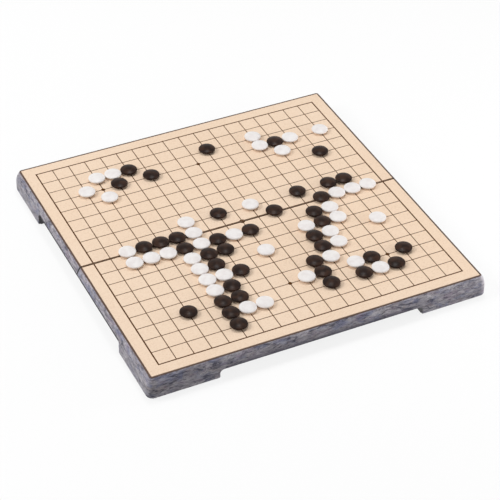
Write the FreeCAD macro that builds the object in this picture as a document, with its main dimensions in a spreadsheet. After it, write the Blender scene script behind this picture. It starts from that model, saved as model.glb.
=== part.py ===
import FreeCAD, Part
import math
import os

import Sketcher

# A folding go board. Two shallow boxes meet at a fold line, stand on four corner feet and each hold
# a drawer of stones that slides out at the right-hand end.
#
# Frame: X runs along the fold, Y from the front half to the back half, Z up. The origin lies on the
# table under the middle of the fold line. Millimetres.
#
# The back half is modelled, and what both halves share is mirrored to the front.

# Driving dimensions ------------------------------------------------------------------------------

dimensions = {
    # grid
    "pitch": 18.5,              # spacing of the grid lines
    "fold_cell": 19.6,          # from the fold line to the first grid line on either side
    "margin": 13.0,             # from the outer grid line to the edge of the sheet
    # shell
    "rim_width": 1.5,
    "shell_height": 22.6,       # playing surface above the underside of the corner skirts
    "side_bulge": 4.5,          # how far the side wall swells out beyond the rim
    "bulge_drop": 14.0,         # depth below the playing surface where the wall is widest
    "corner_radius": 2.6,       # of the rim's upright corners
    "skirt_edge": 0.5,          # rounding under the skirts
    "wall": 2.2,
    "deck": 1.4,
    "fold_gap": 0.3,            # between the fold walls of the two halves
    "foot_length": 75.0,
    "foot_width": 12.0,
    "arch_height": 8.8,         # along the front, the back and the right end
    "left_arch_height": 13.8,   # the left end has no drawers to carry, so its arch is higher
    "arch_fillet": 4.0,
    "arch_edge": 1.4,           # rounding where the arches come out on the outside of the wall
    # what lies on the deck
    "steel_thickness": 0.4,
    "sheet_thickness": 0.5,
    "sheet_setback": 0.4,       # bare deck beside the fold
    "sheet_moat": 0.3,          # between the sheet and the rim
    # base cover
    "base_thickness": 1.4,
    "base_lip": 1.4,            # thickness of the upstand behind the left end wall
    "base_lip_rise": 2.0,       # how far it reaches above that wall's arch
    "base_lip_lean": 1.6,       # how far its top leans in, clear of the wall's inner curve
    "seat_fit": 0.1,            # between pieces that are fixed together
    # feet
    "stand": 2.6,               # height of the rubber pads
    "pad_radius": 3.5,
    "pad_inset": 45.0,          # from the shell's corner to a pad, along its wall
    "pad_clearance": 0.6,
    "magnet_radius": 3.0,
    "magnet_height": 2.0,
    "magnet_inset": 20.0,       # from the shell's corner to a closing magnet
    # screws
    "post_radius": 3.0,
    "screw_radius": 1.3,
    "screw_length": 8.0,
    "screw_head_radius": 2.6,
    "screw_head_height": 1.2,
    "screw_fit": 0.05,          # round the shank in a post
    "screw_play": 0.2,          # round the shank in the base cover, and past its tip
    "post_end_inset": 14.0,     # from the rim to the posts at each end
    "post_back_inset": 18.0,    # from the rim to the row of posts along the back
    "post_fold_inset": 20.0,    # from the fold to the first post
    # hinges
    "axis_drop": 0.1,           # hinge axis below the underside of the skirts
    "hinge_place": 95.0,        # from the middle of the fold to the middle of a hinge
    "knuckle_length": 12.0,
    "knuckle_gap": 0.3,
    "knuckle_radius": 2.3,
    "pin_radius": 1.1,
    "pin_clearance": 0.05,
    "lug_depth": 8.0,
    # drawers
    "rear_space": 24.0,         # from the left rim to the drawer
    "side_space": 27.0,         # from the back rim to the drawer
    "runner_thickness": 1.6,
    "runner_height": 5.0,
    "slide_gap": 0.4,
    "tray_wall": 1.5,
    "tray_floor": 1.2,
    "tray_corner": 2.0,
    "front_depth": 9.0,         # from the rim back to the tray
    "pull_width": 36.0,
    "pull_lip": 2.8,
    "pull_depth": 7.5,
    "pull_roof": 2.5,
    "drawer_travel": 275.0,
    "ear_length": 4.0,
    "stop_length": 4.0,
    # stones
    "stone_spacing": 0.3,       # between stones on neighbouring crossings
    "stone_thickness": 5.8,
    "stone_edge_radius": 1.2,
    "stone_lift": 0.05,
    "stored_gap": 0.15,         # between stones lying side by side in a drawer
    "stone_magnet_radius": 3.0,
    "stone_magnet_height": 2.0,
    "stone_magnet_fit": 0.05,
}

# Stones in play, as (column, row) counted from the near left corner. Row 9 is the fold line.
stones_in_play = {
    "black": [
        (5, 16), (4, 15), (6, 15), (10, 16), (14, 15), (16, 13), (8, 10), (13, 10), (15, 10), (16, 10),
        (3, 9), (4, 9), (5, 9), (11, 9), (14, 9), (5, 8), (7, 8), (9, 8), (13, 8), (6, 7),
        (7, 7), (13, 7), (6, 6), (12, 6), (7, 5), (12, 5), (6, 4), (11, 4), (3, 3), (5, 3),
        (6, 3), (11, 3), (14, 3), (16, 3), (5, 2), (11, 2), (13, 2), (15, 2), (5, 1),
    ],
    "white": [
        (3, 16), (4, 16), (2, 15), (3, 14), (13, 16), (13, 15), (15, 15), (14, 14), (17, 15), (6, 10),
        (10, 10), (2, 9), (6, 9), (15, 9), (16, 9), (17, 9), (2, 8), (3, 8), (4, 8), (6, 8),
        (8, 8), (14, 8), (5, 7), (12, 7), (14, 7), (5, 6), (9, 6), (13, 6), (16, 6), (5, 5),
        (6, 5), (13, 5), (5, 4), (12, 4), (10, 3), (13, 3), (6, 2), (7, 2), (14, 2),
    ],
}
line_count = 19
middle_line = line_count // 2

# A full set has a stone for every crossing, black one more. What isn't in play lies in the drawers.
full_set = {"black": (line_count ** 2 + 1) // 2, "white": line_count ** 2 // 2}

# Document and spreadsheet ------------------------------------------------------------------------

doc = FreeCAD.newDocument("FoldingGoBoard")
sheet = doc.addObject("Spreadsheet::Sheet", "Sizes")
for row, (alias, number) in enumerate(dimensions.items(), start=1):
    sheet.set(f"A{row}", alias)
    sheet.set(f"B{row}", str(number))
    sheet.setAlias(f"B{row}", alias)
doc.recompute()


class Size:
    """A length, held both as a number and as the expression that gives it from the spreadsheet."""

    def __init__(self, value, text):
        self.value = value
        self.text = text

    def __add__(self, other):
        other = as_size(other)
        return Size(self.value + other.value, f"({self.text} + {other.text})")

    def __sub__(self, other):
        other = as_size(other)
        return Size(self.value - other.value, f"({self.text} - {other.text})")

    def __mul__(self, other):
        other = as_size(other)
        return Size(self.value * other.value, f"({self.text} * {other.text})")

    def __truediv__(self, other):
        other = as_size(other)
        return Size(self.value / other.value, f"({self.text} / {other.text})")

    def __neg__(self):
        return Size(-self.value, f"(-1 * {self.text})")


def as_size(item):
    """Wrap a plain count or a zero so that it can stand beside a Size."""
    if isinstance(item, Size):
        return item
    return Size(float(item), repr(float(item)))


def cell(alias):
    return Size(float(dimensions[alias]), f"Sizes.{alias}")


def bind(obj, prop, size):
    obj.setExpression(prop, as_size(size).text)


# Places that several pieces share ----------------------------------------------------------------

rim_x = cell("pitch") * middle_line + cell("margin") + cell("rim_width")
rim_y = cell("fold_cell") + cell("pitch") * (middle_line - 1) + cell("margin") + cell("rim_width")
outer_x = rim_x + cell("side_bulge")
outer_y = rim_y + cell("side_bulge")
overlap = cell("deck") / 2      # how far joined features run into one another

skirt_z = cell("stand")
surface_z = skirt_z + cell("shell_height")
widest_z = surface_z - cell("bulge_drop")
arch_z = skirt_z + cell("arch_height")
left_arch_z = skirt_z + cell("left_arch_height")
base_top_z = arch_z + cell("base_thickness")
steel_z = surface_z - cell("sheet_thickness") - cell("steel_thickness")
deck_under_z = steel_z - cell("deck")

fold_y = cell("fold_gap") / 2
inner_fold_y = fold_y + cell("wall")
inner_swell = cell("side_bulge") - cell("wall")
seat_x = rim_x + inner_swell - cell("seat_fit")
seat_y = rim_y + inner_swell - cell("seat_fit")
seat_radius = cell("corner_radius") + inner_swell - cell("seat_fit")
arch_end_x = outer_x - cell("foot_length")
arch_end_y = outer_y - cell("foot_length")
axis_z = skirt_z - cell("axis_drop")
stone_diameter = cell("pitch") - cell("stone_spacing")

drawer_x0 = cell("rear_space") - rim_x
tray_x1 = rim_x - cell("front_depth")
runner_y0 = inner_fold_y + cell("runner_thickness")
drawer_y0 = runner_y0 + cell("runner_thickness") + cell("slide_gap")
drawer_y1 = rim_y - cell("side_space")
drawer_z0 = base_top_z + cell("slide_gap")
drawer_z1 = deck_under_z - cell("slide_gap")
drawer_mid_y = (drawer_y0 + drawer_y1) / 2
tray_floor_z = drawer_z0 + cell("tray_floor")
pull_x1 = outer_x - cell("pull_lip")
pull_x0 = pull_x1 - cell("pull_depth")
pull_y0 = drawer_mid_y - cell("pull_width") / 2
pull_y1 = drawer_mid_y + cell("pull_width") / 2

middle_post_y = rim_y / 2
post_places = [
    (cell("post_end_inset") - rim_x, cell("post_fold_inset")),
    (cell("post_end_inset") - rim_x, middle_post_y),
    (cell("post_end_inset") - rim_x, rim_y - cell("post_back_inset")),
    (as_size(0), rim_y - cell("post_back_inset")),
    (rim_x - cell("post_end_inset"), rim_y - cell("post_back_inset")),
]

# Tools for solids --------------------------------------------------------------------------------


def block(name, x, y, z):
    """A box between two X, two Y and two Z values."""
    box = doc.addObject("Part::Box", name)
    for prop, axis, (low, high) in zip(("Length", "Width", "Height"), "xyz", (x, y, z)):
        bind(box, prop, as_size(high) - low)
        bind(box, f"Placement.Base.{axis}", low)
    return box


def rod(name, radius, length, place, along_x=False):
    """A cylinder from a point, upwards or along X."""
    cylinder = doc.addObject("Part::Cylinder", name)
    if along_x:
        cylinder.Placement = FreeCAD.Placement(
            FreeCAD.Vector(), FreeCAD.Rotation(FreeCAD.Vector(0, 1, 0), 90))
    bind(cylinder, "Radius", radius)
    bind(cylinder, "Height", length)
    for axis, coordinate in zip("xyz", place):
        bind(cylinder, f"Placement.Base.{axis}", coordinate)
    return cylinder


def join(name, pieces):
    fused = doc.addObject("Part::MultiFuse", name)
    fused.Shapes = pieces
    fused.Refine = True
    return fused


def group(name, pieces):
    """Separate solids kept in one sub-part."""
    compound = doc.addObject("Part::Compound", name)
    compound.Links = pieces
    return compound


def cut(name, base, tools):
    remainder = doc.addObject("Part::Cut", name)
    remainder.Base = base
    remainder.Tool = tools[0] if len(tools) == 1 else group(f"{name}_tools", tools)
    remainder.Refine = True
    return remainder


def mirror(name, source, normal):
    """The same piece on the other side of the fold (normal along Y) or of the middle (along X)."""
    image = doc.addObject("Part::Mirroring", name)
    image.Source = source
    image.Normal = normal
    return image


across_fold = FreeCAD.Vector(0, 1, 0)
across_middle = FreeCAD.Vector(1, 0, 0)

# Tools for bodies --------------------------------------------------------------------------------


def add_body(name):
    return doc.addObject("PartDesign::Body", name)


def add_sketch(body, name, role, offset=0):
    """A sketch on one of the body's origin planes, moved along that plane's normal."""
    sketch = body.newObject("Sketcher::SketchObject", name)
    support = next(feature for feature in body.Origin.OriginFeatures if feature.Role == role)
    sketch.AttachmentSupport = [(support, "")]
    sketch.MapMode = "FlatFace"
    bind(sketch, "AttachmentOffset.Base.z", offset)
    return sketch


def constrain(sketch, kind, *arguments, size=None):
    index = sketch.addConstraint(Sketcher.Constraint(kind, *arguments))
    if size is not None:
        bind(sketch, f"Constraints[{index}]", size)


def arc_between(start, end, radius, left):
    """The short arc of a circle from start to end, turning left or right."""
    chord = end - start
    side = FreeCAD.Vector(-chord.y, chord.x, 0).normalize()
    reach = math.sqrt(max(radius ** 2 - (chord.Length / 2) ** 2, 0))
    centre = (start + end) / 2 + side * (reach if left else -reach)
    first, last = (start, end) if left else (end, start)
    angles = [math.atan2(point.y - centre.y, point.x - centre.x) for point in (first, last)]
    if angles[1] < angles[0]:
        angles[1] += 2 * math.pi
    circle = Part.Circle(centre, FreeCAD.Vector(0, 0, 1), radius)
    return Part.ArcOfCircle(circle, *angles)


def draw(sketch, corners, closed=True):
    """Draw an outline and tie every corner of it to the spreadsheet.

    A corner is (x, y), followed by a straight line, or (x, y, radius, left), followed by an arc.
    """
    count = len(corners)
    ends = []
    for index in range(count if closed else count - 1):
        corner, following = corners[index], corners[(index + 1) % count]
        start = FreeCAD.Vector(as_size(corner[0]).value, as_size(corner[1]).value, 0)
        end = FreeCAD.Vector(as_size(following[0]).value, as_size(following[1]).value, 0)
        if len(corner) == 2:
            edge = sketch.addGeometry(Part.LineSegment(start, end), False)
            ends.append((edge, 1, 2))
            continue
        radius, left = corner[2:]
        edge = sketch.addGeometry(arc_between(start, end, radius.value, left), False)
        constrain(sketch, "Radius", edge, radius.value, size=radius)
        ends.append((edge, 1, 2) if left else (edge, 2, 1))
    for index, corner in enumerate(corners):
        if index < len(ends):
            edge, point = ends[index][0], ends[index][1]
        else:
            edge, point = ends[-1][0], ends[-1][2]
        for kind, coordinate in zip(("DistanceX", "DistanceY"), corner):
            coordinate = as_size(coordinate)
            constrain(sketch, kind, -1, 1, edge, point, coordinate.value, size=coordinate)
        if 0 < index < len(ends) or (closed and index == 0):
            before = ends[index - 1]
            constrain(sketch, "Coincident", before[0], before[2], edge, point)


def draw_circles(sketch, places, radius):
    for x, y in places:
        centre = FreeCAD.Vector(x.value, y.value, 0)
        circle = Part.Circle(centre, FreeCAD.Vector(0, 0, 1), radius.value)
        edge = sketch.addGeometry(circle, False)
        constrain(sketch, "DistanceX", -1, 1, edge, 3, x.value, size=x)
        constrain(sketch, "DistanceY", -1, 1, edge, 3, y.value, size=y)
        constrain(sketch, "Radius", edge, radius.value, size=radius)


def rectangle(x, y):
    return [(x[0], y[0]), (x[1], y[0]), (x[1], y[1]), (x[0], y[1])]


def pad(body, sketch, length, reverse=False):
    feature = body.newObject("PartDesign::Pad", f"{sketch.Name}_pad")
    feature.Profile = sketch
    bind(feature, "Length", length)
    feature.Reversed = reverse
    doc.recompute()
    return feature


def pocket(body, sketch, length=None, reverse=False):
    """Cut a sketch away, to a length or through everything, and see that it took something off."""
    volume = body.Shape.Volume
    feature = body.newObject("PartDesign::Pocket", f"{sketch.Name}_pocket")
    feature.Profile = sketch
    if length is None:
        feature.Type = "ThroughAll"
    else:
        bind(feature, "Length", length)
    feature.Reversed = reverse
    doc.recompute()
    if body.Shape.Volume >= volume:
        raise ValueError(f"{feature.Name} cuts nothing away")
    return feature


# Shell -------------------------------------------------------------------------------------------


def arc_radius(swell, drop):
    """Radius of an arc that leaves the vertical and moves in by swell over a height of drop."""
    return (swell * swell + drop * drop) / (swell * 2)


outer_side_radius = arc_radius(cell("side_bulge"), cell("bulge_drop"))


def cut_back_arch(body, name):
    """Open the arch between the two feet along the back."""
    fillet, below_z = cell("arch_fillet"), skirt_z - overlap
    back = add_sketch(body, f"{name}_back_arch", "XZ_Plane")
    draw(back, [
        (-arch_end_x, below_z), (arch_end_x, below_z), (arch_end_x, arch_z - fillet, fillet, True),
        (arch_end_x - fillet, arch_z), (fillet - arch_end_x, arch_z, fillet, True),
        (-arch_end_x, arch_z - fillet),
    ])
    pocket(body, back)


def cut_end_arch(body, name, top_z, right):
    """Open the arch from the fold to the foot at the right end or at the left end."""
    fillet, below_z, before_y = cell("arch_fillet"), skirt_z - overlap, -overlap
    end = add_sketch(body, f"{name}_end_arch", "YZ_Plane")
    draw(end, [
        (before_y, below_z), (arch_end_y, below_z), (arch_end_y, top_z - fillet, fillet, True),
        (arch_end_y - fillet, top_z), (before_y, top_z),
    ])
    pocket(body, end, reverse=right)


def round_arch(body, name, reach, end, top):
    """Round the edge where an arch comes out on the outside of its wall.

    reach gives how far out a point lies on that wall, and end how far from the arch's middle.
    """
    arched, slack = body.Tip, 0.01
    outside = (inner_swell + cell("wall") / 2).value
    edges = [
        f"Edge{number}" for number, edge in enumerate(arched.Shape.Edges, start=1)
        if all(reach(vertex.Point) > outside and end(vertex.Point) < slack
               and vertex.Z < top.value + slack for vertex in edge.Vertexes)]
    rounding = body.newObject("PartDesign::Fillet", name)
    rounding.Base = (arched, edges)
    bind(rounding, "Radius", cell("arch_edge"))
    doc.recompute()


def make_shell():
    body = add_body("ShellBody")
    radius, rim, bulge = cell("corner_radius"), cell("rim_width"), cell("side_bulge")
    edge = cell("skirt_edge")

    # The side wall's section is carried round the left end, the back and the right end.
    path = add_sketch(body, "WallPath", "XY_Plane")
    draw(path, [
        (-rim_x, fold_y), (-rim_x, rim_y - radius, radius, False), (radius - rim_x, rim_y),
        (rim_x - radius, rim_y, radius, False), (rim_x, rim_y - radius), (rim_x, fold_y),
    ], closed=False)
    inner_radius = arc_radius(inner_swell + rim, deck_under_z - widest_z)
    section = add_sketch(body, "WallSection", "XZ_Plane", -fold_y)
    draw(section, [
        (-rim_x, surface_z, outer_side_radius, True), (-outer_x, widest_z),
        (-outer_x, skirt_z + edge, edge, True), (edge - outer_x, skirt_z), (-rim_x - inner_swell, skirt_z),
        (-rim_x - inner_swell, widest_z, inner_radius, False), (rim - rim_x, deck_under_z),
        (rim - rim_x, surface_z),
    ])
    wall = body.newObject("PartDesign::AdditivePipe", "SideWall")
    wall.Profile = section
    wall.Spine = (path, [f"Edge{number}" for number in range(1, 6)])
    doc.recompute()

    deck = add_sketch(body, "Deck", "XY_Plane", deck_under_z)
    draw(deck, rectangle((rim / 2 - rim_x, rim_x - rim / 2), (fold_y, rim_y - rim / 2)))
    pad(body, deck, cell("deck"))
    posts = add_sketch(body, "Posts", "XY_Plane", base_top_z)
    draw_circles(posts, post_places, cell("post_radius"))
    pad(body, posts, deck_under_z - base_top_z + overlap)

    cut_back_arch(body, "Shell")
    round_arch(body, "BackArchEdge", lambda point: point.y - rim_y.value,
               lambda point: abs(point.x) - arch_end_x.value, arch_z)
    cut_end_arch(body, "ShellRight", arch_z, right=True)
    round_arch(body, "RightArchEdge", lambda point: point.x - rim_x.value,
               lambda point: point.y - arch_end_y.value, arch_z)
    cut_end_arch(body, "ShellLeft", left_arch_z, right=False)
    round_arch(body, "LeftArchEdge", lambda point: -point.x - rim_x.value,
               lambda point: point.y - arch_end_y.value, left_arch_z)

    # Under the higher arch the fold wall shows, and reaches as far out as the base cover's lip.
    fold_wall = add_sketch(body, "FoldWall", "XZ_Plane", -fold_y)
    draw(fold_wall, [
        (-seat_x, arch_z), (rim_x, arch_z), (rim_x, steel_z), (-rim_x, steel_z), (-seat_x, left_arch_z),
    ])
    pad(body, fold_wall, cell("wall"), reverse=True)
    pilot_holes = add_sketch(body, "PilotHoles", "XY_Plane", base_top_z)
    draw_circles(pilot_holes, post_places, cell("screw_radius") + cell("screw_fit"))
    pocket(body, pilot_holes, cell("screw_length"), reverse=True)

    # The drawer's mouth in the right-hand wall, and the notch under it for a fingertip.
    beyond = cell("wall") * 2
    gap = cell("slide_gap")
    mouth = add_sketch(body, "DrawerMouth", "YZ_Plane", outer_x + beyond)
    draw(mouth, rectangle((drawer_y0 - gap, drawer_y1 + gap), (base_top_z, deck_under_z)))
    pocket(body, mouth, cell("front_depth") + cell("side_bulge") + beyond)
    notch = add_sketch(body, "PullNotch", "YZ_Plane", outer_x + beyond)
    draw(notch, rectangle((pull_y0, pull_y1), (arch_z - beyond, base_top_z + overlap)))
    pocket(body, notch, cell("pull_depth") + cell("pull_lip") + beyond)
    return body


back_shell = make_shell()
back_shell.Label = "back_shell"
front_shell = mirror("front_shell", back_shell, across_fold)

# Deck coverings ----------------------------------------------------------------------------------

sheet_z = surface_z - cell("sheet_thickness")


def make_covering(name, low_z, thickness):
    """A flat sheet inside the rim, rounded at its two outer corners like the rim around it."""
    body = add_body(f"{name}_body")
    inset = cell("rim_width") + cell("sheet_moat")
    side_x, near_y, far_y = rim_x - inset, fold_y + cell("sheet_setback"), rim_y - inset
    radius = cell("corner_radius") - inset
    outline = add_sketch(body, f"{name}_outline", "XY_Plane", low_z)
    draw(outline, [
        (-side_x, near_y), (side_x, near_y), (side_x, far_y - radius, radius, True),
        (side_x - radius, far_y), (radius - side_x, far_y, radius, True), (-side_x, far_y - radius),
    ])
    pad(body, outline, thickness)
    body.Label = name
    return body


back_steel = make_covering("back_steel_plate", steel_z, cell("steel_thickness"))
front_steel = mirror("front_steel_plate", back_steel, across_fold)
back_sheet = make_covering("back_playing_sheet", sheet_z, cell("sheet_thickness"))
front_sheet = mirror("front_playing_sheet", back_sheet, across_fold)

# Corner feet -------------------------------------------------------------------------------------


def make_foot_blank(name, end_arch_z):
    """A foot block as it stands at the right-hand back corner: an angle that fills the skirt."""
    body = add_body(name)
    reach = cell("foot_length") + cell("arch_fillet")
    end_x, end_y = outer_x - reach, outer_y - reach
    width = cell("foot_width")
    outline = add_sketch(body, f"{name}_outline", "XY_Plane", skirt_z)
    draw(outline, [
        (seat_x, end_y), (seat_x, seat_y - seat_radius, seat_radius, True), (seat_x - seat_radius, seat_y),
        (end_x, seat_y), (end_x, seat_y - width), (seat_x - width, seat_y - width), (seat_x - width, end_y),
    ])
    pad(body, outline, cell("arch_height"))
    cut_back_arch(body, name)
    cut_end_arch(body, name, end_arch_z, right=True)
    return body


foot_middle_x = seat_x - cell("foot_width") / 2
foot_middle_y = seat_y - cell("foot_width") / 2
magnet_x = outer_x - cell("magnet_inset")
back_pad_place = (outer_x - cell("pad_inset"), foot_middle_y)
front_pad_place = (foot_middle_x, outer_y - cell("pad_inset"))


def make_foot(name, blank, facing_pad):
    """A foot block with a seat for its magnet and a recess for the pad of the foot it closes on."""
    below_z = skirt_z - cell("seat_fit")
    seat = rod(f"{name}_magnet_seat", cell("magnet_radius") + cell("seat_fit"),
               cell("magnet_height") + cell("seat_fit") * 2, (magnet_x, foot_middle_y, below_z))
    recess = rod(f"{name}_pad_recess", cell("pad_radius") + cell("pad_clearance"),
                 cell("stand") + cell("pad_clearance"), (*facing_pad, below_z))
    return cut(name, blank, [seat, recess])


right_blank = make_foot_blank("RightFoot", arch_z)
left_blank = make_foot_blank("LeftFoot", left_arch_z)
back_right_foot = make_foot("back_right_foot_block", right_blank, front_pad_place)
back_left_foot = mirror(
    "back_left_foot_block", make_foot("back_left_pattern", left_blank, front_pad_place), across_middle)
front_right_foot = mirror(
    "front_right_foot_block", make_foot("front_right_pattern", right_blank, back_pad_place), across_fold)
front_left_foot = mirror(
    "front_left_foot_block",
    mirror("front_left_half", make_foot("front_left_pattern", left_blank, back_pad_place), across_middle),
    across_fold)


def pair_across_middle(name, piece):
    """A piece and its image on the other side of the board's middle, as one sub-part."""
    return group(name, [piece, mirror(f"{name}_image", piece, across_middle)])


back_pad = rod("back_pad", cell("pad_radius"), cell("stand"), (*back_pad_place, as_size(0)))
back_pads = pair_across_middle("back_rubber_pads", back_pad)
front_pad = rod("front_pad", cell("pad_radius"), cell("stand"),
                (front_pad_place[0], -front_pad_place[1], as_size(0)))
front_pads = pair_across_middle("front_rubber_pads", front_pad)
magnet = rod("closing_magnet", cell("magnet_radius"), cell("magnet_height"),
             (magnet_x, foot_middle_y, skirt_z))
back_magnets = pair_across_middle("back_closing_magnets", magnet)
front_magnets = mirror("front_closing_magnets", back_magnets, across_fold)

# Base covers and hinges --------------------------------------------------------------------------

knuckle_step = cell("knuckle_length") + cell("knuckle_gap")


def make_base_plate():
    """The flat cover that closes a shell from below, with its screw holes."""
    body = add_body("BasePlate")
    outline = add_sketch(body, "BaseOutline", "XY_Plane", arch_z)
    near_y = inner_fold_y + cell("seat_fit")
    draw(outline, [
        (-seat_x, near_y), (seat_x, near_y), (seat_x, seat_y - seat_radius, seat_radius, True),
        (seat_x - seat_radius, seat_y), (seat_radius - seat_x, seat_y, seat_radius, True),
        (-seat_x, seat_y - seat_radius),
    ])
    pad(body, outline, cell("base_thickness"))
    lip = add_sketch(body, "BaseLip", "XZ_Plane", -near_y)
    lip_foot, lip_top_z = cell("base_lip") - seat_x, left_arch_z + cell("base_lip_rise")
    draw(lip, [
        (-seat_x, arch_z), (lip_foot, arch_z), (lip_foot + cell("base_lip_lean"), lip_top_z),
        (cell("base_lip_lean") - seat_x, lip_top_z),
    ])
    pad(body, lip, seat_y - seat_radius - near_y, reverse=True)
    holes = add_sketch(body, "BaseHoles", "XY_Plane", arch_z)
    draw_circles(holes, post_places, cell("screw_radius") + cell("screw_play"))
    pocket(body, holes, cell("base_thickness"), reverse=True)
    notch = add_sketch(body, "BaseNotch", "XY_Plane", arch_z)
    draw(notch, rectangle((pull_x0, outer_x), (pull_y0, pull_y1)))
    pocket(body, notch, cell("base_thickness"), reverse=True)
    return body


def knuckle_tools(name, middle_x, side):
    """One hinge knuckle with its lug up to the base cover, and the bore through it."""
    low_x = middle_x - cell("knuckle_length") / 2
    high_x = middle_x + cell("knuckle_length") / 2
    near_y, far_y = inner_fold_y + cell("seat_fit"), cell("lug_depth")
    spans = [(fold_y, far_y), (near_y, far_y)] if side > 0 else [(-far_y, -fold_y), (-far_y, -near_y)]
    barrel = rod(f"{name}_barrel", cell("knuckle_radius"), cell("knuckle_length"),
                 (low_x, as_size(0), axis_z), along_x=True)
    lug = block(f"{name}_lug", (low_x, high_x), spans[0], (axis_z, arch_z))
    root = block(f"{name}_root", (low_x, high_x), spans[1], (arch_z, base_top_z))
    bore = rod(f"{name}_bore", cell("pin_radius") + cell("pin_clearance"),
               cell("knuckle_length") + cell("knuckle_gap") * 2,
               (low_x - cell("knuckle_gap"), as_size(0), axis_z), along_x=True)
    return [barrel, lug, root], bore


def make_base_cover(name, plate, middles, side):
    pieces, bores = [plate], []
    for number, middle_x in enumerate(middles, start=1):
        added, bore = knuckle_tools(f"{name}_knuckle_{number}", middle_x, side)
        pieces.extend(added)
        bores.append(bore)
    return cut(name, join(f"{name}_solid", pieces), bores)


base_plate = make_base_plate()
hinge_middles = [-cell("hinge_place"), cell("hinge_place")]
outer_knuckles = [middle + step for middle in hinge_middles for step in (-knuckle_step, knuckle_step)]
back_base = make_base_cover("back_base_cover", base_plate, outer_knuckles, 1)
front_plate = mirror("front_base_plate", base_plate, across_fold)
front_base = make_base_cover("front_base_cover", front_plate, hinge_middles, -1)

pin_length = cell("knuckle_length") * 3 + cell("knuckle_gap") * 2
hinge_pins = []
for name, middle_x in zip(("left_hinge_pin", "right_hinge_pin"), hinge_middles):
    place = (middle_x - pin_length / 2, as_size(0), axis_z)
    hinge_pins.append(rod(name, cell("pin_radius"), pin_length, place, along_x=True))


def make_screw(name, x, y):
    """A pan-head screw that holds the base cover up against a post."""
    head_z = arch_z - cell("screw_head_height")
    head = rod(f"{name}_head", cell("screw_head_radius"), cell("screw_head_height"), (x, y, head_z))
    length = cell("screw_head_height") + cell("base_thickness") + cell("screw_length") - cell("screw_play")
    shank = rod(f"{name}_shank", cell("screw_radius"), length, (x, y, head_z))
    return join(name, [head, shank])


back_screws = group("back_base_screws", [
    make_screw(f"base_screw_{number}", x, y) for number, (x, y) in enumerate(post_places, start=1)])
front_screws = mirror("front_base_screws", back_screws, across_fold)

# Drawers -----------------------------------------------------------------------------------------


def make_runner():
    """Two rails and a back stop in one piece, with an upright lug on each rail that ends the travel."""
    gap, thick = cell("slide_gap"), cell("runner_thickness")
    rail_z = (base_top_z, base_top_z + cell("runner_height"))
    stop_z = (base_top_z, drawer_z1)
    back_x = (drawer_x0 - gap - thick, drawer_x0 - gap)
    stop_x0 = drawer_x0 + cell("ear_length") + cell("drawer_travel") + gap
    stop_x = (stop_x0, stop_x0 + cell("stop_length"))
    rails_y = [(drawer_y0 - gap - thick, drawer_y0 - gap), (drawer_y1 + gap, drawer_y1 + gap + thick)]
    pieces = [block("runner_back", back_x, (rails_y[0][0], rails_y[1][1]), rail_z)]
    for number, rail_y in enumerate(rails_y, start=1):
        pieces.append(block(f"runner_rail_{number}", (back_x[0], rim_x - cell("rim_width")), rail_y, rail_z))
        pieces.append(block(f"runner_stop_{number}", stop_x, rail_y, stop_z))
    return join("back_drawer_runner", pieces)


def make_tray():
    """An open tray whose ears run above the rails and meet the stops."""
    body = add_body("TrayBody")
    corner, side, gap = cell("tray_corner"), cell("tray_wall"), cell("slide_gap")
    ear_y = cell("runner_thickness") + gap
    outline = add_sketch(body, "TrayOutline", "XY_Plane", drawer_z0)
    draw(outline, rectangle((drawer_x0, tray_x1), (drawer_y0, drawer_y1)))
    pad(body, outline, drawer_z1 - drawer_z0)
    ear_z = base_top_z + cell("runner_height") + gap
    ears = add_sketch(body, "TrayEars", "XY_Plane", ear_z)
    ear_x = (drawer_x0, drawer_x0 + cell("ear_length"))
    draw(ears, rectangle(ear_x, (drawer_y0 - ear_y, drawer_y1 + ear_y)))
    pad(body, ears, drawer_z1 - ear_z)
    x0, x1 = drawer_x0 + side, tray_x1 - side
    y0, y1 = drawer_y0 + side, drawer_y1 - side
    hollow = add_sketch(body, "TrayHollow", "XY_Plane", tray_floor_z)
    draw(hollow, [
        (x0 + corner, y0), (x1 - corner, y0, corner, True),
        (x1, y0 + corner), (x1, y1 - corner, corner, True),
        (x1 - corner, y1), (x0 + corner, y1, corner, True),
        (x0, y1 - corner), (x0, y0 + corner, corner, True),
    ])
    pocket(body, hollow, drawer_z1 - tray_floor_z, reverse=True)
    return body


def make_drawer_front():
    """A bar that closes the mouth flush with the swelling wall, hollow underneath for a fingertip."""
    body = add_body("FrontBody")
    profile = add_sketch(body, "FrontProfile", "XZ_Plane", -drawer_y0)
    draw(profile, [
        (tray_x1, skirt_z), (outer_x, skirt_z), (outer_x, widest_z, outer_side_radius, True),
        (rim_x, surface_z), (tray_x1, surface_z),
    ])
    pad(body, profile, drawer_y1 - drawer_y0, reverse=True)
    for name, level_z, upwards in (("FrontTop", drawer_z1, True), ("FrontBottom", drawer_z0, False)):
        trim = add_sketch(body, name, "XY_Plane", level_z)
        draw(trim, rectangle((tray_x1, outer_x), (drawer_y0, drawer_y1)))
        pocket(body, trim, cell("shell_height"), reverse=upwards)
    pull = add_sketch(body, "FrontPull", "XY_Plane", drawer_z0)
    draw(pull, rectangle((pull_x0, pull_x1), (pull_y0, pull_y1)))
    pocket(body, pull, drawer_z1 - drawer_z0 - cell("pull_roof"), reverse=True)
    return body


back_runner = make_runner()
front_runner = mirror("front_drawer_runner", back_runner, across_fold)
back_tray = make_tray()
back_tray.Label = "back_drawer_tray"
front_tray = mirror("front_drawer_tray", back_tray, across_fold)
back_drawer_front = make_drawer_front()
back_drawer_front.Label = "back_drawer_front"
front_drawer_front = mirror("front_drawer_front", back_drawer_front, across_fold)

# Stones ------------------------------------------------------------------------------------------


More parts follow.
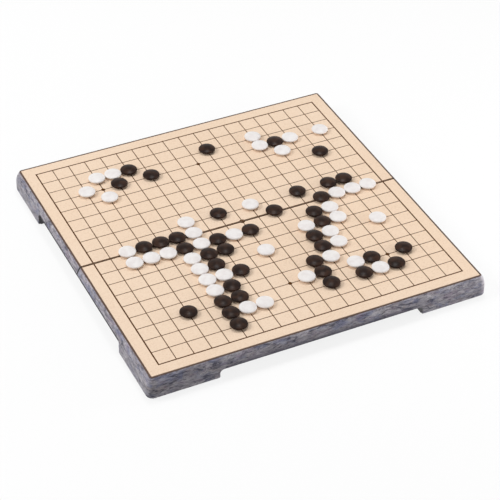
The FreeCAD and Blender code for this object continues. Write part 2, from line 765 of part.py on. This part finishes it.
def make_stone():
    """A lens with a rounded rim, hollowed for its magnet, about the origin."""
    body = add_body("StoneBody")
    edge, thickness = cell("stone_edge_radius"), cell("stone_thickness")
    edge_x = stone_diameter / 2 - edge
    face_radius = (edge_x * edge_x + thickness * thickness / 4 - edge * edge) / (thickness - edge * 2)
    face_drop = face_radius - thickness / 2
    share = edge / (face_radius - edge)
    meet_x, meet_z = edge_x + edge_x * share, face_drop * share
    section = add_sketch(body, "StoneSection", "XZ_Plane")
    draw(section, [
        (as_size(0), -(thickness / 2), face_radius, True), (meet_x, -meet_z, edge, True),
        (meet_x, meet_z, face_radius, True), (as_size(0), thickness / 2),
    ])
    turned = body.newObject("PartDesign::Revolution", "StoneTurned")
    turned.Profile = section
    turned.ReferenceAxis = (section, ["V_Axis"])
    turned.Angle = 360
    doc.recompute()
    radius = cell("stone_magnet_radius") + cell("stone_magnet_fit")
    height = cell("stone_magnet_height") + cell("stone_magnet_fit") * 2
    hollow = rod("stone_hollow", radius, height, (as_size(0), as_size(0), -(height / 2)))
    return cut("stone", body, [hollow])


def place_copies(name, piece, places):
    """Copies of one piece at each place, linked and kept together in one sub-part."""
    copies = []
    for number, place in enumerate(places, start=1):
        link = doc.addObject("App::Link", f"{name}_{number}")
        link.LinkedObject = piece
        link.LinkTransform = True
        for axis, coordinate in zip("xyz", place):
            bind(link, f"Placement.Base.{axis}", coordinate)
        copies.append(link)
    return group(name, copies)


def crossing(column, row):
    """Where a grid crossing lies. The two cells beside the fold are a little deeper than the rest."""
    x = cell("pitch") * (column - middle_line)
    steps = row - middle_line
    if steps == 0:
        return x, as_size(0)
    y = cell("fold_cell") + cell("pitch") * (abs(steps) - 1)
    return x, y if steps > 0 else -y


def stored_places(count, side):
    """A close-packed layer of stones on a tray's floor, filled from the rear end."""
    across = stone_diameter + cell("stored_gap")
    row_step = across * (math.sqrt(3) / 2)
    wall = cell("tray_wall") + cell("stored_gap")
    first_x = drawer_x0 + wall + stone_diameter / 2
    first_y = drawer_y0 + wall + stone_diameter / 2
    length = (tray_x1 - wall - stone_diameter / 2 - first_x).value
    width = (drawer_y1 - wall - stone_diameter / 2 - first_y).value
    z = tray_floor_z + cell("stone_lift") + cell("stone_thickness") / 2
    columns = range(int(length / across.value) + 1)
    rows = range(int(width / row_step.value) + 1)
    places = []
    for column in columns:
        for row in rows:
            shift = 0.5 * (row % 2)
            if (column + shift) * across.value > length:
                continue
            y = first_y + row_step * row
            places.append((first_x + across * (column + shift), y if side > 0 else -y, z))
    return places[:count]


stone = make_stone()
stone_magnet = rod("stone_magnet", cell("stone_magnet_radius"), cell("stone_magnet_height"),
                   (as_size(0), as_size(0), -(cell("stone_magnet_height") / 2)))
# The fold line's stones lie over both halves and belong to the back one.
play_z = surface_z + cell("stone_lift") + cell("stone_thickness") / 2
stone_parts = []
for half in ("back", "front"):
    magnet_places = []
    for colour, crossings in stones_in_play.items():
        on_half = [spot for spot in crossings if (spot[1] >= middle_line) == (half == "back")]
        places = [(*crossing(*spot), play_z) for spot in on_half]
        magnet_places.extend(places)
        stone_parts.append(place_copies(f"{half}_{colour}_stones", stone, places))
    stone_parts.append(place_copies(f"{half}_stone_magnets", stone_magnet, magnet_places))
for half, colour, side in (("back", "black", 1), ("front", "white", -1)):
    stored_count = full_set[colour] - len(stones_in_play[colour])
    places = stored_places(stored_count, side)
    stone_parts.append(place_copies(f"stored_{colour}_stones", stone, places))
    stone_parts.append(place_copies(f"stored_{colour}_magnets", stone_magnet, places))

# Check and export --------------------------------------------------------------------------------

sub_parts = [
    back_shell, back_base, back_steel, back_sheet, back_left_foot, back_right_foot, back_pads,
    back_magnets, back_screws, back_runner, back_tray, back_drawer_front,
    front_shell, front_base, front_steel, front_sheet, front_left_foot, front_right_foot, front_pads,
    front_magnets, front_screws, front_runner, front_tray, front_drawer_front,
    *hinge_pins, *stone_parts,
]

doc.recompute()
failed = [obj.Name for obj in doc.Objects if "Invalid" in obj.State or "Error" in obj.State]
if failed:
    raise ValueError(f"features that failed: {failed}")
for sub_part in sub_parts:
    if sub_part.Shape.isNull() or not sub_part.Shape.isValid():
        raise ValueError(f"{sub_part.Label} has no valid shape")

os.makedirs("parts", exist_ok=True)
for sub_part in sub_parts:
    sub_part.Shape.exportStep(f"parts/{sub_part.Label}.step")
    bounds = sub_part.Shape.BoundBox
    print(f"{sub_part.Label:26s} {len(sub_part.Shape.Solids):4d} solids  "
          f"x {bounds.XMin:8.2f} {bounds.XMax:8.2f}  y {bounds.YMin:8.2f} {bounds.YMax:8.2f}  "
          f"z {bounds.ZMin:7.2f} {bounds.ZMax:7.2f}")
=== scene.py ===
import math

import bmesh
import bpy
from mathutils import Matrix, Vector


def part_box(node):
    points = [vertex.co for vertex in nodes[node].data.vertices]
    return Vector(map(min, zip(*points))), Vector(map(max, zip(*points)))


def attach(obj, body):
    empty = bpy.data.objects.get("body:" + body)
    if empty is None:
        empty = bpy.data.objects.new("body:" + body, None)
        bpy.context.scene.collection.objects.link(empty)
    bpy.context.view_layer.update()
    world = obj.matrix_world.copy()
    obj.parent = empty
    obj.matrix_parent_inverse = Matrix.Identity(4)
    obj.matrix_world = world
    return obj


# A folding go board with a drawer of spare stones in each half. Metres, X along the fold, Z up.

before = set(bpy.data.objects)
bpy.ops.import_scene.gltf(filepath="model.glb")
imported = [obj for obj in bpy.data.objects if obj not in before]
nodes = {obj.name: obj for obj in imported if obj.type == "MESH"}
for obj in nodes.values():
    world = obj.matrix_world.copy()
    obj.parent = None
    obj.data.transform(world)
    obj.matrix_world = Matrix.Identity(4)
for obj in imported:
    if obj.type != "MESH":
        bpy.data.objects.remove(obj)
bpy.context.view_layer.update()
halves = {"back": 1, "front": -1}       # which side of the fold each half lies on


# An output socket that takes arithmetic: each operator adds a Math node.
class Wire:
    def __init__(self, graph, socket):
        self.graph = graph
        self.socket = socket

    def __add__(self, other):
        return self.graph.maths("ADD", self, other)

    def __sub__(self, other):
        return self.graph.maths("SUBTRACT", self, other)

    def __rsub__(self, other):
        return self.graph.maths("SUBTRACT", other, self)

    def __mul__(self, other):
        return self.graph.maths("MULTIPLY", self, other)

    def __abs__(self):
        return self.graph.maths("ABSOLUTE", self)

    __radd__ = __add__
    __rmul__ = __mul__


class Graph:
    def __init__(self, tree):
        self.tree = tree
        tree.nodes.clear()

    # settings first, then the value or link of each input
    def node(self, kind, settings, inputs, output=0):
        made = self.tree.nodes.new("ShaderNode" + kind)
        for name, value in settings.items():
            if name == "stops":
                self.fillRamp(made.color_ramp, value)
            else:
                setattr(made, name, value)
        for key, value in inputs.items():
            if isinstance(value, Wire):
                self.tree.links.new(value.socket, made.inputs[key])
            else:
                made.inputs[key].default_value = value
        return Wire(self, made.outputs[output] if made.outputs else None)

    def fillRamp(self, ramp, stops):
        while len(ramp.elements) < len(stops):
            ramp.elements.new(0.5)
        for element, (position, colour) in zip(ramp.elements, stops):
            element.position = position
            element.color = colour

    def maths(self, operation, *values):
        return self.node("Math", {"operation": operation}, dict(enumerate(values)))

    def mix(self, factor, first, second, how="MIX"):
        return self.node("Mix", {"data_type": "RGBA", "blend_type": how},
                         {0: factor, 6: first, 7: second}, output=2)

    # rises from 0 to 1 between two values
    def rise(self, value, low, high):
        return self.node("MapRange", {"interpolation_type": "SMOOTHSTEP"},
                         {"Value": value, "From Min": low, "From Max": high})

    # falls from 1 to 0 between two values
    def fall(self, value, low, high):
        return 1 - self.rise(value, low, high)

    def along(self, axis, source="Object"):
        spot = self.node("TexCoord", {}, {}, output=source)
        return self.node("SeparateXYZ", {}, {0: spot}, output=axis)

    def place(self, stretch=(1, 1, 1), shift=(0, 0, 0), turn=(0, 0, 0)):
        spot = self.node("TexCoord", {}, {}, output="Object")
        return self.node("Mapping", {}, {"Vector": spot, "Scale": stretch,
                                         "Location": shift, "Rotation": turn})

    def noise(self, spot, scale, detail=3.0, roughness=0.5, distortion=0.0):
        return self.node("TexNoise", {}, {"Vector": spot, "Scale": scale, "Detail": detail,
                                          "Roughness": roughness, "Distortion": distortion})

    def bump(self, height, distance, strength=1.0):
        return self.node("Bump", {}, {"Height": height, "Distance": distance, "Strength": strength})

    def finish(self, **sockets):
        named = {key.replace("_", " "): value for key, value in sockets.items()}
        shader = self.node("BsdfPrincipled", {}, named)
        self.node("OutputMaterial", {}, {"Surface": shader})


def newMaterial(name):
    material = bpy.data.materials.new(name)
    material.use_nodes = True
    return material, Graph(material.node_tree)


# a colour written as on screen, turned into the linear values that shaders use
def tone(red, green, blue):
    def straight(level):
        level /= 255
        return level / 12.92 if level <= 0.04045 else ((level + 0.055) / 1.055) ** 2.4
    return (straight(red), straight(green), straight(blue), 1.0)


def scaled(colour, share):
    return tuple(level * share for level in colour[:3]) + (1.0,)


def dress(material, *names):
    for name in names:
        slots = nodes[name].data.materials
        slots.clear()
        slots.append(material)


def addPiece(name, mesh, material, body):
    data = bpy.data.meshes.new(name)
    mesh.to_mesh(data)
    mesh.free()
    data.materials.append(material)
    piece = bpy.data.objects.new(name, data)
    bpy.context.scene.collection.objects.link(piece)
    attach(piece, body)


# Side walls, feet and drawer fronts: plastic with a marbled film in greys, blues and browns.
marble = {
    "grey": tone(167, 162, 171),
    "light": tone(212, 207, 213),
    "blue": tone(124, 132, 168),
    "mauve": tone(164, 140, 166),
    "brown": tone(168, 148, 142),
    "dark": tone(60, 59, 77),
    "paintedShade": tone(66, 64, 68),    # painted shade on downward faces and the arches' ends
    "rim": tone(88, 64, 50),
    # painted shade beside the fold gap
    "foldShade": tone(24, 20, 20),
    "size": 62,                 # patches per metre along the wall
    "streak": 2.6,              # how much longer than high a patch is
    "slant": 0.2,               # tilt of the streaks, in radians
    # each layer of noise: its place, share of the size, detail, roughness and distortion
    "cloud": (0.0, 1.0, 6, 0.62, 0.7),
    "cloudRange": (0.38, 0.64),
    "patches": (                # colour, strength, range of the noise, and the layer
        ("blue", 0.65, (0.48, 0.66), (0.37, 0.7, 5, 0.62, 1.1)),
        ("mauve", 0.5, (0.5, 0.68), (0.91, 1.1, 5, 0.62, 0.9)),
        ("brown", 0.5, (0.52, 0.68), (1.53, 1.4, 6, 0.65, 1.2)),
        ("dark", 0.85, (0.5, 0.64), (3.1, 0.85, 6, 0.66, 1.3)),
    ),
    "vein": (2.2, 1.9, 7, 0.68, 1.8),
    "veinWidth": 0.035,
    "veinStrength": 0.55,
    # fine strands
    "strand": (430, 4, 0.65, 0.4),      # strands per metre, detail, roughness and distortion
    "strandStretch": (0.3, 0.3, 1.7),
    "strandShift": (0.4, 0.1, 0.2),
    "darkStrands": (0.34, 0.5),
    "darkStrength": 0.6,
    "lightStrands": (0.52, 0.66),
    "lightStrength": 0.45,
    # places, in metres
    "archTop": 0.0114,          # at the front and the back
    "archShade": 0.007,         # how far up the wall the painted shade along an arch's lower edge reaches
    "archReach": (0.095, 0.11),         # where that edge fades, from the middle
    "archShadeStrength": 0.85,
    "endReach": (0.112, 0.12),          # just beyond the ends of the arches
    "rimDepth": (0.0006, 0.0001),       # below the playing surface
    "foldReach": (0.0009, 0.0015),      # where the painted shade beside the fold fades
    "foldShadeStrength": 0.92,
    # directions, as shares of a surface's normal
    "downward": (-0.8, -0.15),
    "sideways": (0.5, 0.8),
    "paintedShadeStrength": 0.85,
    # gloss
    "pebble": (2600, 2, 0.5),   # dimples per metre, detail and roughness
    "pebbleShare": 0.4,
    "relief": 0.00008,
    "roughness": 0.42,
    "strandRoughness": 0.14,
    "rimPolish": 0.05,
}


def makeMarble(surface):
    material, graph = newMaterial("marbledPlastic")
    slant = (marble["slant"], -marble["slant"], 0)

    def layer(shift, share, detail, roughness, distortion):
        spot = graph.place((1, 1, marble["streak"]), (shift, 2 * shift, 3 * shift), slant)
        return graph.noise(spot, marble["size"] * share, detail, roughness, distortion)

    cloud = graph.rise(layer(*marble["cloud"]), *marble["cloudRange"])
    colour = graph.mix(cloud, marble["grey"], marble["light"])
    for name, strength, limits, settings in marble["patches"]:
        patch = graph.rise(layer(*settings), *limits)
        colour = graph.mix(patch * strength, colour, marble[name])
    # veins run where the noise crosses its middle
    veins = graph.fall(abs(layer(*marble["vein"]) - 0.5), 0.0, marble["veinWidth"])
    colour = graph.mix(veins * marble["veinStrength"], colour, marble["dark"])
    along = graph.place(marble["strandStretch"], marble["strandShift"], slant)
    fibre = graph.noise(along, *marble["strand"])
    darker = graph.fall(fibre, *marble["darkStrands"]) * marble["darkStrength"]
    colour = graph.mix(darker, colour, marble["dark"])
    lighter = graph.rise(fibre, *marble["lightStrands"]) * marble["lightStrength"]
    colour = graph.mix(lighter, colour, marble["light"])

    # painted shade: darker along the lower edge of the arches at the front and the back, where the
    # wall turns under
    height = graph.along("Z")
    acrossX, acrossY = (abs(graph.along(axis)) for axis in "XY")
    facingX, facingY = (
        graph.rise(abs(graph.along(axis, "Normal")), *marble["sideways"]) for axis in "XY"
    )
    low = graph.fall(height, marble["archTop"], marble["archTop"] + marble["archShade"])
    between = graph.fall(acrossX, *marble["archReach"])
    shade = low * between * facingY * marble["archShadeStrength"]
    colour = graph.mix(shade, colour, marble["dark"])

    # painted shade: a dark grey on downward faces and on the arches' ends
    down = graph.fall(graph.along("Z", "Normal"), *marble["downward"])
    endX = facingX * graph.fall(acrossX, *marble["endReach"])
    endY = facingY * graph.fall(acrossY, *marble["endReach"])
    paintedShadeMask = graph.maths("MAXIMUM", down, graph.maths("MAXIMUM", endX, endY))
    colour = graph.mix(paintedShadeMask * marble["paintedShadeStrength"], colour, marble["paintedShade"])

    # the rim's flat top is dark, and painted shade darkens the edges beside the fold gap
    rim = graph.rise(height, *(surface - depth for depth in marble["rimDepth"]))
    colour = graph.mix(rim, colour, marble["rim"])
    fold = graph.fall(acrossY, *marble["foldReach"])
    colour = graph.mix(fold * marble["foldShadeStrength"], colour, marble["foldShade"])

    pebble = graph.noise(graph.place(), *marble["pebble"])
    relief = graph.bump(marble["pebbleShare"] * pebble + fibre, marble["relief"], 0.5)
    roughness = (marble["roughness"] + marble["strandRoughness"] * fibre
                 - marble["rimPolish"] * rim)
    graph.finish(Base_Color=colour, Roughness=roughness, Normal=relief,
                 Specular_IOR_Level=0.3, Coat_Weight=0.08, Coat_Roughness=0.3)
    return material


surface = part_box("back_playing_sheet")[1].z
marbledPlastic = makeMarble(surface)
for half in halves:
    dress(marbledPlastic, f"{half}_shell", f"{half}_drawer_front",
          f"{half}_left_foot_block", f"{half}_right_foot_block")
print("marbled plastic: shells, feet and drawer fronts")


# Playing sheets: pale peach film with a very fine grain.
film = {
    "base": tone(246, 221, 196),
    "warm": tone(241, 212, 184),
    "flecks": [                 # tint of the film along the range of the grain
        (0.32, (0.86, 0.8, 0.74, 1)), (0.5, (1, 1, 1, 1)), (0.72, (1.03, 1.03, 1.03, 1)),
    ],
    "fleckStrength": 0.7,
    "patches": 9,               # warmer patches per metre
    "patchRange": (0.35, 0.65),
    "patchStrength": 0.3,
    "grain": 620,               # flecks per metre
    "grainStretch": (1, 1.6, 1),
    "relief": 0.00005,
    "roughness": 0.55,
}


def makeFilm():
    material, graph = newMaterial("playingFilm")
    patches = graph.rise(graph.noise(graph.place(), film["patches"], 3, 0.5), *film["patchRange"])
    colour = graph.mix(patches * film["patchStrength"], film["base"], film["warm"])
    grain = graph.noise(graph.place(film["grainStretch"]), film["grain"], 3, 0.65)
    fleck = graph.node("ValToRGB", {"stops": film["flecks"]}, {"Fac": grain})
    colour = graph.mix(film["fleckStrength"], colour, fleck, "MULTIPLY")
    graph.finish(Base_Color=colour, Roughness=film["roughness"] + grain * 0.1,
                 Normal=graph.bump(grain, film["relief"], 0.3), Specular_IOR_Level=0.25)
    return material


dress(makeFilm(), "back_playing_sheet", "front_playing_sheet")
print("film: playing sheets")


# Printed grid: ink lines and star points on each half.
gridPrint = {
    "pitch": 0.0185,
    "foldCell": 0.0196,         # from the fold line to the first row
    "columns": 19,
    "rows": 9,                  # on each half, without the fold line
    "line": 0.0009,             # width of a line
    "border": 0.00144,          # width of the outermost lines
    "foldEdge": 0.00085,        # width of the line along the fold, on each sheet
    "starRadius": 0.0022,
    "foldStarRadius": 0.003,    # of the star points that the fold divides
    "starSides": 40,
    "starSteps": 6,             # columns between star points
    "starRow": 6,               # rows from the fold to the star points
    "thickness": 0.00002,
    "stack": (1.0, 1.15, 1.3),  # how high rows, columns and star points stand, in thicknesses
    "ink": tone(80, 46, 10),
    "wear": 420,                # faded spots per metre
    "wearRange": (0.42, 0.72),
    "wearStrength": 0.5,
    "wornShare": 1.5,           # how much lighter worn ink is
}


def makeInk():
    material, graph = newMaterial("printedInk")
    wear = graph.noise(graph.place(), gridPrint["wear"], 4, 0.6)
    faded = graph.rise(wear, *gridPrint["wearRange"]) * gridPrint["wearStrength"]
    colour = graph.mix(faded, gridPrint["ink"], scaled(gridPrint["ink"], gridPrint["wornShare"]))
    graph.finish(Base_Color=colour, Roughness=0.5 + wear * 0.15, Specular_IOR_Level=0.08,
                 Normal=graph.bump(wear, 0.00002, 0.3))
    return material


# a thin strip of ink that stands a hair above the film
def addStrip(mesh, xs, ys, top):
    bottom = surface - gridPrint["thickness"]
    corners = [mesh.verts.new((x, y, z)) for z in (bottom, top) for y in ys for x in xs]
    sides = ((0, 2, 3, 1), (4, 5, 7, 6), (0, 1, 5, 4), (1, 3, 7, 5), (3, 2, 6, 7), (2, 0, 4, 6))
    for side in sides:
        mesh.faces.new([corners[index] for index in side])


# a disc of ink, or the part of one that lies on this half's film
def addStar(mesh, x, y, radius, side, edge, top):
    ring, count = [], gridPrint["starSides"]
    for step in range(count):
        angle = 2 * math.pi * step / count
        spot = (x + radius * math.cos(angle), y + radius * math.sin(angle))
        if spot[1] * side >= edge:
            ring.append(spot)
    if abs(y) < edge:
        reach = math.sqrt(radius ** 2 - edge ** 2)
        ring += [(x - reach, edge * side), (x + reach, edge * side)]
    # corners go round a point just inside the film
    inside = (max(abs(y), edge) + gridPrint["thickness"] / 2) * side
    ring.sort(key=lambda spot: math.atan2(spot[1] - inside, spot[0] - x))
    for height, order in ((surface - gridPrint["thickness"], -1), (top, 1)):
        mesh.faces.new([mesh.verts.new((*spot, height)) for spot in ring[::order]])


def makeGrid(half, side, ink):
    low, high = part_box(f"{half}_playing_sheet")
    edge = min(abs(low.y), abs(high.y))
    mesh = bmesh.new()
    pitch, line, border = gridPrint["pitch"], gridPrint["line"], gridPrint["border"]
    last = gridPrint["columns"] // 2
    rows = [gridPrint["foldCell"] + pitch * step for step in range(gridPrint["rows"])]
    reach, farEdge = last * pitch + border / 2, rows[-1] + border / 2
    rowTop, columnTop, starTop = (
        surface + gridPrint["thickness"] * share for share in gridPrint["stack"]
    )
    for row in rows:
        halfWidth = (border if row == rows[-1] else line) / 2
        along = sorted((side * (row - halfWidth), side * (row + halfWidth)))
        addStrip(mesh, (-reach, reach), along, rowTop)
    for step in range(-last, last + 1):
        halfWidth = (border if abs(step) == last else line) / 2
        across = (step * pitch - halfWidth, step * pitch + halfWidth)
        addStrip(mesh, across, sorted((side * edge, side * farEdge)), columnTop)
    foldLine = sorted((side * edge, side * (edge + gridPrint["foldEdge"])))
    addStrip(mesh, (low.x, high.x), foldLine, rowTop)
    starRow = side * rows[gridPrint["starRow"] - 1]
    for step in (-gridPrint["starSteps"], 0, gridPrint["starSteps"]):
        addStar(mesh, step * pitch, starRow, gridPrint["starRadius"], side, edge, starTop)
        addStar(mesh, step * pitch, 0.0, gridPrint["foldStarRadius"], side, edge, starTop)
    bmesh.ops.recalc_face_normals(mesh, faces=mesh.faces)
    addPiece(f"{half}GridPrint", mesh, ink, f"{half}_half")


ink = makeInk()
for half, side in halves.items():
    makeGrid(half, side, ink)
print("printed grid: lines and star points")


# Stones: satin plastic, brown-black and white.
stoneLook = {
    "finishes": {               # colour, its softer patches, roughness and specular level
        "black": (tone(38, 26, 22), tone(61, 42, 33), 0.24, 0.07),
        "white": (tone(244, 240, 238), tone(237, 231, 229), 0.34, 0.25),
    },
    "clouds": 130,              # softer patches per metre
    "cloudRange": (0.4, 0.65),
    "mottle": 1500,             # dots per metre
    "relief": 0.00003,
}


def makeStoneFinish(name, plain, soft, roughness, level):
    material, graph = newMaterial(name)
    cloud = graph.noise(graph.place(), stoneLook["clouds"], 4, 0.55)
    colour = graph.mix(graph.rise(cloud, *stoneLook["cloudRange"]), plain, soft)
    mottle = graph.noise(graph.place(), stoneLook["mottle"], 3, 0.6)
    graph.finish(Base_Color=colour, Roughness=roughness + mottle * 0.12,
                 Normal=graph.bump(mottle, stoneLook["relief"], 0.3), Specular_IOR_Level=level)
    return material


for shade, look in stoneLook["finishes"].items():
    dress(makeStoneFinish(f"{shade}Stone", *look),
          f"back_{shade}_stones", f"front_{shade}_stones", f"stored_{shade}_stones")
print("stones: black and white")


# Base covers, drawers, pads and metal.
mouldings = {
    "finishes": {               # colour, roughness, grain per metre and its depth
        "baseMoulding": (tone(80, 78, 82), 0.55, 1600, 0.00006),
        "trayMoulding": (tone(78, 76, 81), 0.45, 2200, 0.00003),
        "padRubber": (tone(26, 26, 27), 0.75, 2600, 0.00005),
    },
    "clouds": 24,               # lighter patches per metre
    "cloudRange": (0.35, 0.7),
    "cloudStrength": 0.5,
    "cloudShare": 1.3,          # how much lighter they are
}
metals = {
    "finishes": {               # colour, roughness and how the marks are stretched
        "nickelPlate": (tone(205, 203, 198), 0.18, (1, 1, 1)),
        "zincPlate": (tone(182, 184, 188), 0.28, (1, 1, 1)),
        "sheetSteel": (tone(160, 161, 164), 0.32, (0.05, 1, 1)),
    },
    "marks": 900,               # darker marks per metre
    "markRange": (0.35, 0.65),
    "markStrength": 0.6,
    "markShare": 0.8,           # how much of the metal's tone they keep
    "relief": 0.00001,
}


def makeMoulding(name, plain, roughness, grain, depth):
    material, graph = newMaterial(name)
    texture = graph.noise(graph.place(), grain, 4, 0.6)
    cloud = graph.noise(graph.place(), mouldings["clouds"], 3, 0.5)
    lighter = graph.rise(cloud, *mouldings["cloudRange"]) * mouldings["cloudStrength"]
    colour = graph.mix(lighter, plain, scaled(plain, mouldings["cloudShare"]))
    graph.finish(Base_Color=colour, Roughness=roughness + texture * 0.15,
                 Normal=graph.bump(texture, depth, 0.6), Specular_IOR_Level=0.4)
    return material


def makeMetal(name, plain, roughness, stretch):
    material, graph = newMaterial(name)
    marks = graph.noise(graph.place(stretch), metals["marks"], 3, 0.6)
    darker = graph.rise(marks, *metals["markRange"]) * metals["markStrength"]
    colour = graph.mix(darker, plain, scaled(plain, metals["markShare"]))
    graph.finish(Base_Color=colour, Metallic=1.0, Roughness=roughness + marks * 0.12,
                 Normal=graph.bump(marks, metals["relief"], 0.3))
    return material


baseFinish, trayFinish, rubber = (
    makeMoulding(name, *look) for name, look in mouldings["finishes"].items()
)
nickel, zinc, sheetSteel = (
    makeMetal(name, *look) for name, look in metals["finishes"].items()
)
for half in halves:
    dress(baseFinish, f"{half}_base_cover")
    dress(trayFinish, f"{half}_drawer_tray", f"{half}_drawer_runner")
    dress(rubber, f"{half}_rubber_pads")
    dress(nickel, f"{half}_closing_magnets", f"{half}_stone_magnets")
    dress(zinc, f"{half}_base_screws")
    dress(sheetSteel, f"{half}_steel_plate")
dress(nickel, "stored_black_magnets", "stored_white_magnets")
dress(zinc, "left_hinge_pin", "right_hinge_pin")
print("base covers, drawers, pads and metal")


# Cross recesses in the heads of the base screws, as thin dark crosses on their faces: painted shade
# standing in for the hollows.
screwCross = {
    "places": ((-0.167, 0.02), (-0.167, 0.09105), (-0.167, 0.1641), (0, 0.1641), (0.167, 0.1641)),
    "reach": 0.0014,            # from the middle to the end of an arm
    "arm": 0.00032,             # half an arm's width
    "thickness": 0.00002,
    "finish": (tone(30, 30, 32), 0.6, 2600, 0.00002),   # painted shade of the recesses, with the same columns as for the mouldings
}


def makeScrewCrosses(half, side, material):
    reach, arm, thickness = (screwCross[name] for name in ("reach", "arm", "thickness"))
    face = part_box(f"{half}_base_screws")[0].z
    outline = [
        (arm, arm), (arm, reach), (-arm, reach), (-arm, arm), (-reach, arm), (-reach, -arm),
        (-arm, -arm), (-arm, -reach), (arm, -reach), (arm, -arm), (reach, -arm), (reach, arm),
    ]
    mesh = bmesh.new()
    for x, y in screwCross["places"]:
        low, high = (
            [mesh.verts.new((x + across, side * y + along, height)) for across, along in outline]
            for height in (face - thickness, face + thickness)
        )
        mesh.faces.new(low)
        mesh.faces.new(high)
        for step in range(len(outline)):
            mesh.faces.new((low[step - 1], low[step], high[step], high[step - 1]))
    bmesh.ops.recalc_face_normals(mesh, faces=mesh.faces)
    addPiece(f"{half}ScrewCrosses", mesh, material, f"{half}_half")


recessShade = makeMoulding("screwRecessShade", *screwCross["finish"])
for half, side in halves.items():
    makeScrewCrosses(half, side, recessShade)
print("screw crosses")


# Floor, light and camera.
studio = {
    "lamps": {                  # watts, width, distance and the direction each one comes from
        "key": (25.1, 1.0, 2.4, (-1.1, 0.3, 1.0)),
        "top": (17.8, 0.6, 2.4, (0.12, 0.24, 0.95)),
        "fill": (3.3, 0.5, 0.8, (1.25, -0.6, 0.18)),
    },
    "skyLight": 0.32,           # strength of the soft light from above
    "groundLight": 0.16,        # what a floor would send back from below
    "floorSize": 6.0,
    "floorShare": 0.16,         # how solid the floor looks
    "horizon": (-0.25, 0.25),   # where the light from below gives way to the sky's
}
shot = {
    "azimuth": -25.76,
    "elevation": 38.58,
    "roll": 0.53,
    "lens": 129.9,
    "distance": 1.8446,
    "target": (-0.01339, -0.04686, 0.0252),
    "nearest": 0.05,            # what the camera sees lies between these distances
    "farthest": 20,
}


# Only the camera sees the floor, from above and faintly, so what hangs below it still shows.
def makeFloor():
    mesh = bmesh.new()
    bmesh.ops.create_grid(mesh, x_segments=1, y_segments=1, size=studio["floorSize"] / 2)
    data = bpy.data.meshes.new("floor")
    mesh.to_mesh(data)
    mesh.free()
    material, graph = newMaterial("paleFloor")
    seen = graph.node("LightPath", {}, {}, "Is Camera Ray")
    behind = graph.node("NewGeometry", {}, {}, "Backfacing")
    pale = graph.node("BsdfDiffuse", {}, {"Color": (1, 1, 1, 1)})
    clear = graph.node("BsdfTransparent", {}, {})
    share = seen * (1 - behind) * studio["floorShare"]
    both = graph.node("MixShader", {}, {0: share, 1: clear, 2: pale})
    graph.node("OutputMaterial", {}, {"Surface": both})
    data.materials.append(material)
    floor = bpy.data.objects.new("floor", data)
    bpy.context.scene.collection.objects.link(floor)


# White where it is seen or mirrored, and a soft light from the sky with less of it from below.
def makeWorld():
    world = bpy.data.worlds.new("studio")
    world.use_nodes = True
    bpy.context.scene.world = world
    graph = Graph(world.node_tree)
    seen = graph.node("LightPath", {}, {}, "Is Camera Ray")
    for way in ("Is Glossy Ray", "Is Transmission Ray"):
        seen = graph.maths("MAXIMUM", seen, graph.node("LightPath", {}, {}, way))
    above = graph.rise(graph.along("Z", "Generated"), *studio["horizon"])
    light = studio["groundLight"] + above * (studio["skyLight"] - studio["groundLight"])
    strength = seen + (1 - seen) * light
    sky = graph.node("Background", {}, {"Color": (1, 1, 1, 1), "Strength": strength})
    graph.node("OutputWorld", {}, {"Surface": sky})


def makeLamp(name, watts, width, distance, direction):
    data = bpy.data.lights.new(name, "AREA")
    data.shape = "DISK"
    data.size = width
    data.energy = watts
    lamp = bpy.data.objects.new(name, data)
    towards = Vector(direction).normalized()
    lamp.location = towards * distance
    lamp.rotation_mode = "QUATERNION"
    lamp.rotation_quaternion = towards.to_track_quat("Z", "Y")
    bpy.context.scene.collection.objects.link(lamp)


def makeCamera():
    turn, lift, roll = (math.radians(shot[name]) for name in ("azimuth", "elevation", "roll"))
    level = Vector((math.cos(turn), math.sin(turn), 0))
    towards = Vector((math.sin(turn), -math.cos(turn), 0))
    back = towards * math.cos(lift) + Vector((0, 0, math.sin(lift)))
    upright = back.cross(level)
    right = level * math.cos(roll) + upright * math.sin(roll)
    up = upright * math.cos(roll) - level * math.sin(roll)
    data = bpy.data.cameras.new("camera")
    data.lens = shot["lens"]
    data.clip_start, data.clip_end = shot["nearest"], shot["farthest"]
    camera = bpy.data.objects.new("camera", data)
    turned = Matrix((right, up, back)).transposed().to_4x4()
    place = Vector(shot["target"]) + back * shot["distance"]
    camera.matrix_world = Matrix.Translation(place) @ turned
    bpy.context.scene.collection.objects.link(camera)
    bpy.context.scene.camera = camera


makeFloor()
makeWorld()
for name, settings in studio["lamps"].items():
    makeLamp(name, *settings)
makeCamera()
bpy.context.scene.view_settings.view_transform = "Standard"
print("floor, light and camera")
